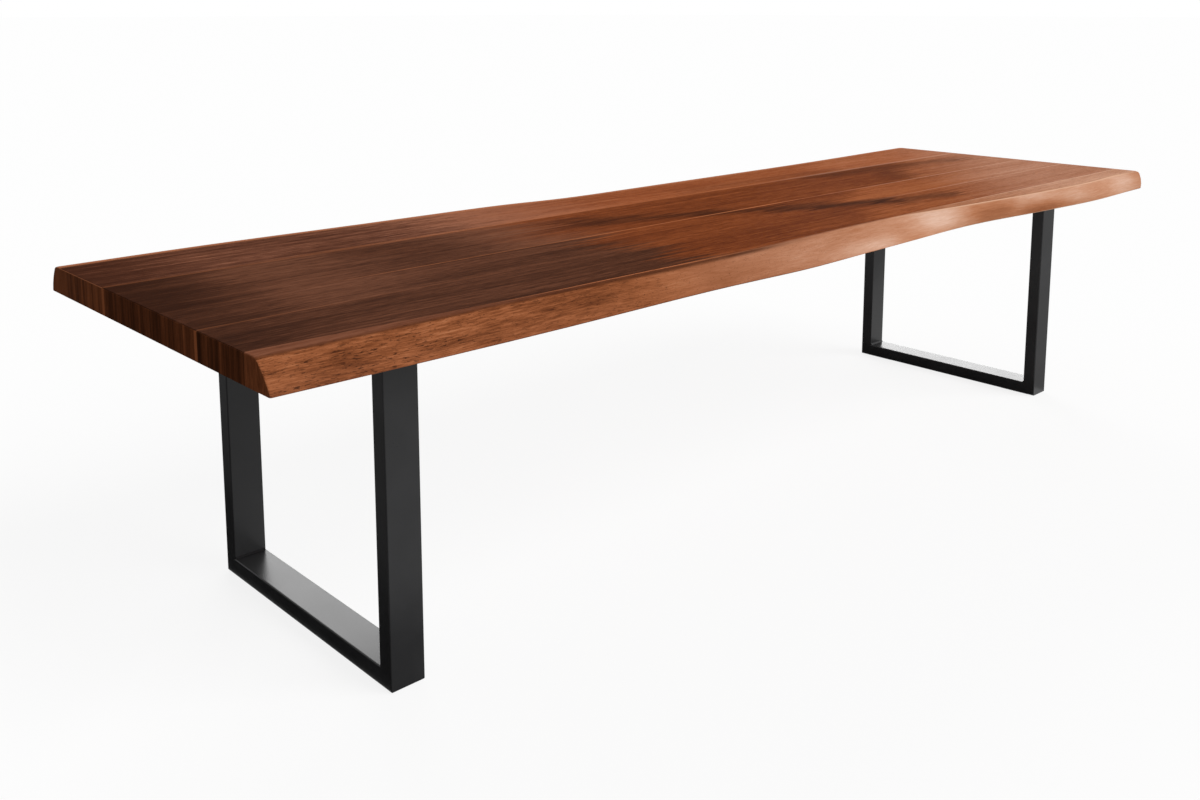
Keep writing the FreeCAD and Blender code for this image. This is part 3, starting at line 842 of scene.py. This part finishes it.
@dataclass(frozen=True)
class LiveEdgeWood(BoardWood):
    """A plank whose outer face is the bared wood under the bark: rough, pitted and warmer."""

    dips: Waves = Waves((1.6, 3.0, 3.0), moved=21)
    fine_dips: Waves = Waves((14.0, 30.0, 30.0), moved=23, strength=0.004)
    fibres: Waves = Waves((22.0, 110.0, 420.0), 6, 0.70, 1)
    patches: Waves = Waves((4.0, 12.0, 40.0), 4, 0.62, 5)
    checks: Waves = Waves((60.0, 170.0, 520.0), 3, 0.6, 9)
    pits: Waves = Waves((150.0, 320.0, 760.0), moved=17)
    dip_height: float = 0.03
    fibre_depth: float = 0.0003
    rough_until: Pair = (-1.05, -0.55)
    blotch_drift: float = 0.25
    pale_drift: float = 0.40
    pale_over: Pair = (-0.85, 0.40)
    checked_over: Pair = (0.57, 0.64)
    checked_in: Pair = (0.46, 0.66)
    smooth_checks: float = 0.06
    pitted_over: Pair = (0.63, 0.70)
    pitted_until: Pair = (-0.95, 0.75)
    pit_strength: float = 0.8
    crack_strength: float = 0.8
    crack_colour: Colour = screen_colour(50, 26, 16)
    shoulder_height: float = 0.768
    shoulder_shade: float = 0.0045
    shoulder_wider: float = 0.005
    shoulder_wider_over: Pair = (-1.10, -0.60)
    shoulder_shade_until: Pair = (-0.45, -0.05)
    shoulder_colour: Colour = screen_colour(76, 40, 23)
    highlight_colour: Colour = screen_colour(228, 184, 154)
    crest_highlight_from: float = 0.10
    crest_highlight_fade: float = 0.40
    crest_highlight_until: Pair = (1.50, 1.64)
    crest_highlight_strength: float = 0.85
    rim_highlight: float = 0.0
    rim_above: Pair = (0.765, 0.767)
    rim_core: float = 0.25
    rim_strength: float = 0.80
    bared_roughness: float = 0.14

    def bared_colour(self, figure: Figure) -> tuple[Value, Value]:
        """The outer face, with painted highlights, painted shade and painted sheen in its colour.

        Args:
            figure: The plank's growth pattern.

        Returns:
            Its colour, and its height between 0 in the cracks and 1.
        """
        graph, x, place, seed = figure.graph, figure.x, figure.place, self.seed
        dip = self.dips.over(place, seed) - 0.5
        height = figure.z + dip * self.dip_height + self.fine_dips.shift(place, seed)
        swayed = graph.vector(x, figure.y, height)
        waves = (self.fibres, self.patches, self.checks, self.pits)
        fibres, patches, checks, pits = (each.over(swayed, seed) for each in waves)
        rough = x.fall(*self.rough_until)
        checked = self.smooth_checks + (1 - self.smooth_checks) * rough
        cracks = checks.rise(*self.checked_over) * checked * patches.fall(*self.checked_in)
        pitted = pits.rise(*self.pitted_over) * x.fall(*self.pitted_until)
        cracks = cracks.larger(pitted * self.pit_strength)
        # The patches add painted highlights and painted shade to the tone of the bared wood.
        tone = 0.5 + sum(blotch.mask(x + dip * self.blotch_drift, figure.z) for blotch in BLOTCHES)
        tone = tone + (0.35 + 0.70 * rough) * (fibres - 0.5) + (0.30 + 0.25 * rough) * (patches - 0.5)
        reach = self.shoulder_shade + self.shoulder_wider * x.rise(*self.shoulder_wider_over)
        shade = ((self.shoulder_height - figure.z) / reach).fall(0.35, 1.0)
        shade = shade * x.fall(*self.shoulder_shade_until) * (0.45 + 0.45 * patches.rise(0.3, 0.6))
        # Paler towards the right end, partly paler wood and partly painted sheen, with painted shade under
        # the shoulder.
        wood = graph.layers(
            graph.ramp(tone, BARED_WOOD),
            ((x + dip * self.pale_drift).rise(*self.pale_over), graph.ramp(tone, PALE_BARED_WOOD)),
            (shade, self.shoulder_colour),
            (cracks * self.crack_strength, self.crack_colour),
        )
        return wood, (0.15 + 0.40 * rough) * fibres + 0.45 * (1 - cracks)

    def paint(self, graph: Graph) -> None:
        """Builds the sawn faces as on a board, and lays the bared face over them.

        Args:
            graph: The material's empty graph.
        """
        figure = Figure(graph, self)
        sawn = self.colour(figure)
        outside, height = self.bared_colour(figure)
        long_faces = 1 - figure.end
        bared = graph.attribute("bared") * long_faces
        # A painted highlight along the upper face, next to its shoulder.
        if self.rim_highlight > 0:
            rim_highlight = graph.attribute("inwards").fall(self.rim_highlight * self.rim_core, self.rim_highlight)
            rim_highlight = rim_highlight * figure.z.rise(*self.rim_above) * long_faces
            sawn = graph.blend(rim_highlight * self.rim_strength, sawn, self.highlight_colour)
        # A painted highlight along the top of the shoulder, where the bared face meets the sawn faces.
        crest_highlight = 4 * bared * (1 - bared) * figure.x.rise(self.crest_highlight_from, self.crest_highlight_from + self.crest_highlight_fade)
        crest_highlight = crest_highlight * figure.x.fall(*self.crest_highlight_until) * self.crest_highlight_strength
        height = figure.lines * (1 - bared) * 0.2 + bared * height
        graph.surface(
            graph.layers(sawn, (bared, outside), (crest_highlight, self.highlight_colour)),
            self.roughness + self.bared_roughness * (figure.lines - 0.5),
            Normal=graph.bump(height, self.fibre_depth),
            Coat_Weight=self.oil * (1 + bared),
            **OILED,
        )


# Modelling helpers


def unit(value: float) -> float:
    """A number kept between 0 and 1."""
    return min(max(value, 0.0), 1.0)


def deselect_all() -> None:
    """Leaves nothing selected, so that an operator acts only on what comes next."""
    for item in bpy.context.view_layer.objects:
        item.select_set(False)


def work_on(piece: bpy.types.Object) -> None:
    """Makes a piece the only selected object and the active one.

    Args:
        piece: The piece.
    """
    deselect_all()
    piece.select_set(True)
    bpy.context.view_layer.objects.active = piece


@contextmanager
def editing(piece: bpy.types.Object) -> Iterator[bmesh.types.BMesh]:
    """Opens a piece in edit mode, for work on its edges, with nothing selected.

    Args:
        piece: The mesh object.

    Yields:
        The edit mesh, whose edges can be selected.
    """
    work_on(piece)
    bpy.ops.object.mode_set(mode="EDIT")
    bpy.ops.mesh.select_mode(type="EDGE")
    bpy.ops.mesh.select_all(action="DESELECT")
    yield bmesh.from_edit_mesh(piece.data)
    bpy.ops.object.mode_set(mode="OBJECT")


def select_edges(mesh: bmesh.types.BMesh, chosen: Callable[[bmesh.types.BMEdge], bool]) -> None:
    """Selects some edges.

    Args:
        mesh: The edit mesh.
        chosen: Says whether an edge is selected.
    """
    for edge in filter(chosen, mesh.edges):
        edge.select = True
    mesh.select_flush(True)


def modify(piece: bpy.types.Object, kind: str, **settings: object) -> None:
    """Adds a modifier to a piece, sets it and applies it.

    Args:
        piece: The mesh object.
        kind: The modifier's type.
        settings: The modifier's properties.
    """
    work_on(piece)
    modifier = piece.modifiers.new(kind.lower(), kind)
    for name, setting in settings.items():
        setattr(modifier, name, setting)
    bpy.ops.object.modifier_apply(modifier=modifier.name)


def size_primitive(name: str, size: Sequence[float]) -> bpy.types.Object:
    """Names the primitive that was just added, and keeps its place and its size in its mesh.

    Args:
        name: The name of the object and of its mesh.
        size: The size along each axis.

    Returns:
        The primitive.
    """
    piece = bpy.context.object
    piece.name = piece.data.name = name
    piece.scale = size
    bpy.ops.object.transform_apply(location=True, rotation=True, scale=True)
    return piece


def block(name: str, low: Vector, high: Vector) -> bpy.types.Object:
    """Makes a box.

    Args:
        name: Its name.
        low: Its lowest corner.
        high: Its highest corner.

    Returns:
        The box.
    """
    deselect_all()
    bpy.ops.mesh.primitive_cube_add(size=1, location=(low + high) / 2)
    return size_primitive(name, high - low)


def sheet(name: str, low: Pair, high: Pair, height: float = 0.0) -> bpy.types.Object:
    """Makes a level rectangle.

    Args:
        name: Its name.
        low: Its lowest corner, (along, across) the table.
        high: Its highest corner.
        height: Its height above the floor.

    Returns:
        The rectangle.
    """
    deselect_all()
    middle = ((low[0] + high[0]) / 2, (low[1] + high[1]) / 2, height)
    bpy.ops.mesh.primitive_plane_add(size=1, location=middle)
    return size_primitive(name, (high[0] - low[0], high[1] - low[1], 1))


def soften(piece: bpy.types.Object, angle: float = 35.0) -> None:
    """Shades a piece smooth except at edges sharper than an angle in degrees."""
    work_on(piece)
    bpy.ops.object.shade_smooth_by_angle(angle=math.radians(angle))


def seat(piece: bpy.types.Object, finish: Finish, slot: str, *nodes: str) -> None:
    """Finishes a new piece and fixes it to the table.

    Args:
        piece: The new piece, in its place.
        finish: Its finish.
        slot: Its material slot in the record; not used.
        nodes: The nodes that it stands for.
    """
    finish.dress(piece)
    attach(piece, BODY)
    if nodes:
        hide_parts(*nodes)
    LOG.info("%s: %d faces", piece.name, len(piece.data.polygons))


# The top


class EdgeSide(Enum):
    """Which long side of the table a live edge is on, as the sign of its Y."""

    NEAR = -1
    FAR = 1


@dataclass
class LiveEdgePlank:
    """A plank whose outer face keeps the tree's wavy edge, draped over its solid and worn.

    Each relief is its name, its size, how often it is stretched along the plank, and its depth.
    """

    node: str
    side: EdgeSide
    finish: LiveEdgeWood
    columns: int = 900
    rows: int = 34
    crowding: float = 1.3
    arris: float = 0.002
    edge_ease: float = 0.0015
    skin: float = 0.00002
    further_in: tuple[float, ...] = (0.0003, 0.0010)
    reliefs: tuple[tuple[str, float, float, float], ...] = (
        ("swells", 0.060, 5.0, 0.0016),
        ("ridges", 0.008, 14.0, 0.0005),
    )
    calm_margin: float = 0.008
    calm_ends: float = 0.032
    calm_from: float = -0.4
    calm_over: float = 0.8
    calm_share: float = 0.7
    bared_below: float = 0.0021
    bared_above: float = 0.0015
    smooth_angle: float = 50.0
    channels: tuple[float, ...] = ()
    groove_half_width: float = 0.0255
    groove_end: float = 0.378
    groove_depth: float = 0.0215
    groove_overcut: float = 0.01
    web_share: float = 0.21
    flange_share: float = 0.843

    def __post_init__(self) -> None:
        """Reads the plank's box and surface from the frame."""
        self.low, self.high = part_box(self.node)
        self.glue = self.low.y if self.side is EdgeSide.FAR else self.high.y
        self.solid = BVHTree.FromObject(frame["nodes"][self.node], bpy.context.evaluated_depsgraph_get())

    def station(self, share: float) -> float:
        """A place along the plank between -1 and 1, with places closer together at its ends."""
        turned = 2 * share - 1
        return math.copysign(1 - (1 - abs(turned)) ** self.crowding, turned)

    def outer_face(self, station: float, depth: float) -> Vector:
        """A point of the outer face.

        Args:
            station: The place along the plank, from -1 to 1.
            depth: How far the point lies below the upper face.

        Returns:
            The point on the plank's solid, with the lower arris eased.
        """
        thickness = self.high.z - self.low.z
        half = self.high.x - max(self.arris - depth, 0)
        inside = min(max(depth, self.skin), thickness - self.skin)
        # A ray that grazes the rounded corner can miss it, and is then cast a little further in.
        for inset in (self.skin, *self.further_in):
            start = Vector((station * (half - inset), 2 * self.side.value, self.high.z - inside))
            hit = self.solid.ray_cast(start, Vector((0, -self.side.value, 0)))[0]
            if hit is not None:
                break
        else:
            hit = self.solid.find_nearest(start)[0]
        left = thickness - depth
        eased = self.edge_ease - math.sqrt(max(self.edge_ease**2 - max(self.edge_ease - left, 0) ** 2, 0))
        return Vector((station * half, hit.y - self.side.value * eased, self.high.z - depth))

    def drape(self) -> bpy.types.Object:
        """Lays a fine sheet over the outer face.

        Returns:
            The sheet, which is open at its borders.
        """
        deselect_all()
        bpy.ops.mesh.primitive_grid_add(x_subdivisions=self.columns, y_subdivisions=self.rows, size=2)
        face = bpy.context.object
        face.name = face.data.name = f"{self.node}_worn"
        thickness = self.high.z - self.low.z
        for vertex in face.data.vertices:
            share, down = (vertex.co.x + 1) / 2, (1 - vertex.co.y) / 2
            vertex.co = self.outer_face(self.station(share), thickness * down**self.crowding)
        return face

    def wear(self, face: bpy.types.Object) -> None:
        """Gives the outer face its hollows and ridges, and leaves its borders as they are.

        Args:
            face: The sheet over the outer face.
        """
        worn = face.vertex_groups.new(name="worn")
        for vertex in face.data.vertices:
            place = vertex.co
            down = min(self.high.z - place.z, place.z - self.low.z) / self.calm_margin
            along = (self.high.x - abs(place.x)) / self.calm_ends
            rough = 1 - self.calm_share * unit((place.x - self.calm_from) / self.calm_over)
            worn.add([vertex.index], rough * unit(min(down, along)) ** 2, "REPLACE")
        faces_out = face.data.polygons[0].normal.y * self.side.value > 0
        for name, size, stretch, depth in self.reliefs:
            texture = bpy.data.textures.new(f"{self.node}_{name}", "CLOUDS")
            texture.noise_scale = size
            texture.noise_depth = 3
            guide = bpy.data.objects.new(f"{name}_guide", None)
            guide.scale = (stretch, 1, 1)
            bpy.context.scene.collection.objects.link(guide)
            bpy.context.view_layer.update()
            mapping = {"texture": texture, "texture_coords": "OBJECT", "texture_coords_object": guide}
            strength = depth if faces_out else -depth
            modify(face, "DISPLACE", strength=strength, mid_level=1.0, vertex_group=worn.name, **mapping)
            bpy.data.objects.remove(guide)

    def build(self) -> bpy.types.Object:
        """The whole plank.

        Returns:
            A closed piece, whose mesh holds the numbers that its finish reads.
        """
        plank = self.drape()
        self.wear(plank)
        with editing(plank) as mesh:
            select_edges(mesh, lambda edge: edge.is_boundary)
            bpy.ops.mesh.extrude_region_move()
            onto_glue_face = {"value": (1, 0, 1), "center_override": (0, self.glue, 0)}
            bpy.ops.transform.resize(orient_type="GLOBAL", **onto_glue_face)
            bpy.ops.mesh.edge_face_add()
            bpy.ops.mesh.select_all(action="SELECT")
            bpy.ops.mesh.normals_make_consistent(inside=False)
        self.mark(plank)
        for place in self.channels:
            self.groove(plank, place)
        soften(plank, self.smooth_angle)
        return plank

    def mark(self, plank: bpy.types.Object) -> None:
        """Stores what the finish reads from the mesh.

        That is "bared", 1 on the outer face below its shoulder and 0 elsewhere, and "inwards", how far a
        place of the upper face lies from its shoulder.

        Args:
            plank: The closed plank, before its grooves.
        """
        names = ("bared", "inwards")
        for name in names:
            plank.data.attributes.new(name, "FLOAT", "POINT")
        bared, inwards = (plank.data.attributes[name].data for name in names)
        shoulder, glued = {}, []
        for vertex in plank.data.vertices:
            x, y, z = vertex.co
            down, up = self.high.z - z, z - self.low.z
            if abs(y - self.glue) < self.skin:
                glued.append(vertex)
                continue
            bared[vertex.index].value = unit(min(down / self.bared_below, up / self.bared_above))
            if down < self.skin:
                shoulder[round(x, 6)] = y
        for vertex in glued:
            inwards[vertex.index].value = abs(shoulder.get(round(vertex.co.x, 6), self.glue) - self.glue)

    def groove(self, plank: bpy.types.Object, place: float) -> None:
        """Cuts the room for the end of a flattening channel: its recessed web and its two upright flanges.

        Args:
            plank: The closed plank.
            place: The middle of the channel, along the table.
        """
        half, end = self.groove_half_width, self.groove_end * self.side.value
        flange = self.flange_share
        for inner, outer, depth in ((-1, 1, self.web_share), (-1, -flange, 1), (flange, 1, 1)):
            low = Vector((place + inner * half, min(end, 0), self.low.z - self.groove_overcut))
            high = Vector((place + outer * half, max(end, 0), self.low.z + self.groove_depth * depth))
            cutter = block("groove_cutter", low, high)
            modify(plank, "BOOLEAN", object=cutter, operation="DIFFERENCE", solver="EXACT")
            bpy.data.objects.remove(cutter)


NEAR_GLOW = (-1.25, 0.30, -0.03)


BOARD_WOODS = {
    "far_board": BoardWood(
        "far_board_wood",
        3.1,
        light_from=0.88,
        head_end=-0.62,
        head_fade=0.22,
        head_glows=((-1.30, 0.30, 0.12), (-0.62, 0.34, 0.30)),
        head_end_shade=0.34,
        end_tone=0.46,
    ),
    "middle_board": BoardWood(
        "middle_board_wood", 17.4, tone_shift=0.03, light=0.24, head_end=-0.57, head_fade=0.10, end_tone=0.57
    ),
    "near_board": BoardWood(
        "near_board_wood", 29.8, head_glows=(NEAR_GLOW,), end_tone=0.42, strip=SapwoodStrip()
    ),
}
FAR_PLANK_WOOD = LiveEdgeWood(
    "far_plank_wood",
    41.2,
    ROSY_WOOD,
    tone_shift=0.03,
    light=0.10,
    head_end=-0.42,
    head_fade=0.40,
    head_tones=DUSKY_WOOD,
    head_glows=((-0.45, 0.62, 0.32),),
    end_tone=0.62,
    even_end_from=0.414,
    highlight_colour=screen_colour(186, 118, 82),
    crest_highlight_from=-1.60,
    rim_highlight=0.030,
)
NEAR_PLANK_WOOD = LiveEdgeWood("near_plank_wood", 53.6, head_glows=(NEAR_GLOW,), strip=SapwoodStrip())


@dataclass(frozen=True)
class Top:
    """The glued-up top with its loose tongues; the flattening channels are dressed with the frames."""

    tongues: tuple[str, ...] = ("far_tongue", "middle_tongue", "near_tongue", "edge_tongue")
    channels: tuple[float, ...] = (-0.5, 0.5)

    def build(self) -> None:
        """Dresses the boards and makes the two live edge planks."""
        for node, finish in (BOARD_WOODS | dict.fromkeys(self.tongues, BirchPly())).items():
            finish.dress(frame["nodes"][node])
        far_plank = LiveEdgePlank("far_edge_plank", EdgeSide.FAR, FAR_PLANK_WOOD, channels=self.channels)
        near_plank = LiveEdgePlank("near_edge_plank", EdgeSide.NEAR, NEAR_PLANK_WOOD)
        for plank, slot in ((far_plank, "oiled_wood"), (near_plank, "sapwood_edge")):
            seat(plank.build(), plank.finish, slot, plank.node)


@dataclass(frozen=True)
class Frames:
    """The two U-shaped steel frames with their plates, bolts, inserts and felt pads."""

    coated: tuple[str, ...] = (
        "near_post",
        "far_post",
        "runner",
        "mounting_plate",
        "frame_bolts",
        "flattening_channel",
        "channel_screws",
    )
    bead_leg: float = 0.0045
    bead_sunk: float = 0.0003
    bead_hollow: float = 0.25
    tube_corner: float = 0.003

    def weld_bead(self, side: str, post: str) -> None:
        """Lays a small hollow fillet of weld in the corner between a post and its runner.

        Args:
            side: left or right.
            post: near_post or far_post.
        """
        post_low, post_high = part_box(f"{side}_{post}")
        runner_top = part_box(f"{side}_runner")[1].z
        inwards, wall = (1, post_high.y) if post == "near_post" else (-1, post_low.y)
        free = wall + inwards * self.bead_leg
        ends = sorted((wall - inwards * self.bead_sunk, free))
        low = Vector((post_low.x + self.tube_corner, ends[0], runner_top - self.bead_sunk))
        high = Vector((post_high.x - self.tube_corner, ends[1], runner_top + self.bead_leg))
        bead = block(f"{side}_{post}_weld", low, high)

        def is_free(edge: bmesh.types.BMEdge) -> bool:
            """Whether an edge is the block's long edge away from both tubes."""
            middle = (edge.verts[0].co + edge.verts[1].co) / 2
            return abs(middle.y - free) < self.bead_sunk and abs(middle.z - high.z) < self.bead_sunk

        with editing(bead) as mesh:
            select_edges(mesh, is_free)
            bpy.ops.mesh.bevel(offset=self.bead_leg, segments=6, profile=self.bead_hollow, affect="EDGES")
        soften(bead)
        seat(bead, POWDER_COAT, "black_steel")

    def build(self) -> None:
        """Dresses the pieces of both frames and adds the welds."""
        for side in ("left", "right"):
            for post in ("near_post", "far_post"):
                self.weld_bead(side, post)
            for piece in self.coated:
                POWDER_COAT.dress(frame["nodes"][f"{side}_{piece}"])
            ZINC_PLATE.dress(frame["nodes"][f"{side}_thread_inserts"])
            DARK_FELT.dress(frame["nodes"][f"{side}_felt_pads"])


# The studio


@dataclass(frozen=True)
class SoftSun:
    """A wide, soft lamp that lights the whole studio evenly.

    The heading is where it stands, in degrees from +X towards +Y; the height is degrees above the floor.
    """

    name: str
    heading: float
    height: float
    width: float
    strength: float

    def build(self) -> None:
        """Adds the lamp."""
        lamp = bpy.data.lights.new(self.name, "SUN")
        lamp.energy = self.strength
        lamp.angle = math.radians(self.width)
        item = bpy.data.objects.new(self.name, lamp)
        heading, height = math.radians(self.heading), math.radians(self.height)
        level = math.cos(height)
        towards = Vector((math.cos(heading) * level, math.sin(heading) * level, math.sin(height)))
        item.rotation_mode = "QUATERNION"
        item.rotation_quaternion = towards.to_track_quat("Z", "Y")
        bpy.context.scene.collection.objects.link(item)


@dataclass(frozen=True)
class GlossCard:
    """A flat dark or grey card on the studio's floor, which only dims what the gloss of the frames reflects.

    The corners are (along, across) the table from its middle.
    """

    name: str
    low: Pair
    high: Pair
    shade: float
    above_floor: float = 0.001

    def build(self) -> None:
        """Lays the card down."""
        card = sheet(self.name, self.low, self.high, self.above_floor)
        for ray in ("camera", "diffuse", "transmission", "volume_scatter", "shadow"):
            setattr(card, f"visible_{ray}", False)
        material = bpy.data.materials.new(self.name)
        Graph(material).surface((self.shade, self.shade, self.shade, 1.0), 1.0, Specular_IOR_Level=0.0)
        card.data.materials.append(material)


@dataclass(frozen=True)
class Studio:
    """Plain pale floor, soft lamps and the camera."""

    floor_reach: float = 200.0
    floor_colour: Colour = (0.98, 0.98, 0.98, 1.0)
    floor_bounce: Colour = (0.45, 0.45, 0.45, 1.0)
    floor_glow: float = 0.85
    ambient: float = 0.35
    suns: tuple[SoftSun, ...] = (
        SoftSun("back_lamp", heading=57, height=30, width=30, strength=0.90),
        SoftSun("end_lamp", heading=27, height=15, width=24, strength=0.54),
        SoftSun("key_lamp", heading=-62, height=34, width=46, strength=2.3),
    )
    cards: tuple[GlossCard, ...] = (
        GlossCard("left_dark_card", (-1.62, -1.6), (-1.352, 3.4), 0.01),
        GlossCard("left_grey_card", (-4.20, -1.6), (-1.62, 3.4), 0.20),
        GlossCard("front_grey_card", (-1.351, -0.64), (-1.08, -0.35), 0.33),
        GlossCard("middle_grey_card", (-0.30, -0.30), (1.12, 2.50), 0.27),
        GlossCard("middle_dark_card", (1.12, -0.50), (1.26, 0.90), 0.05),
        GlossCard("right_grey_card", (1.36, -3.0), (6.00, -0.36), 0.50),
    )
    camera_place: Triple = (-2.5011, -2.1829, 1.3288)
    camera_heading: float = 46.90
    camera_tilt: float = 8.49
    camera_lens: float = 35.2
    camera_shift: float = -0.18

    def build(self) -> None:
        """Sets up the floor, the light and the camera."""
        bpy.context.scene.view_settings.view_transform = "Standard"
        self.lay_floor()
        self.light_world()
        for piece in (*self.suns, *self.cards):
            piece.build()
        self.place_camera()

    def lay_floor(self) -> None:
        """A wide matt floor: white paper with the table's shadow to look at, which bounces less light."""
        floor = sheet("floor", (-self.floor_reach,) * 2, (self.floor_reach,) * 2)
        material = bpy.data.materials.new("floor_paper")
        graph = Graph(material)
        shaded = graph.node("ShaderNodeBsdfDiffuse", None, {"Color": self.floor_colour})
        white = graph.node("ShaderNodeEmission", None, {"Color": WHITE, "Strength": 1.0})
        paper = graph.node("ShaderNodeMixShader", None, {0: self.floor_glow, 1: shaded, 2: white})
        bounce = graph.node("ShaderNodeBsdfDiffuse", None, {"Color": self.floor_bounce})
        graph.end(graph.node("ShaderNodeMixShader", None, {0: graph.looked_at(), 1: bounce, 2: paper}))
        floor.data.materials.append(material)

    def light_world(self) -> None:
        """An even grey light, which cameras and reflections see as a white background."""
        world = bpy.data.worlds.new("studio")
        bpy.context.scene.world = world
        graph = Graph(world)
        strength = self.ambient + (1 - self.ambient) * graph.looked_at()
        background = graph.node("ShaderNodeBackground", None, {"Color": WHITE, "Strength": strength})
        graph.end(background, "ShaderNodeOutputWorld")

    def place_camera(self) -> None:
        """Stands the camera at the table's near left corner."""
        data = bpy.data.cameras.new("camera")
        data.lens = self.camera_lens
        data.shift_y = self.camera_shift
        camera = bpy.data.objects.new("camera", data)
        camera.location = self.camera_place
        tilt, heading = math.radians(90 - self.camera_tilt), math.radians(self.camera_heading - 90)
        camera.rotation_euler = (tilt, 0, heading)
        bpy.context.scene.collection.objects.link(camera)
        bpy.context.scene.camera = camera


def main() -> None:
    """Builds the studio and dresses the table."""
    logging.basicConfig(level=logging.INFO, format="%(name)s: %(message)s")
    Studio().build()
    Top().build()
    Frames().build()


if __name__ == "__main__":
    main()
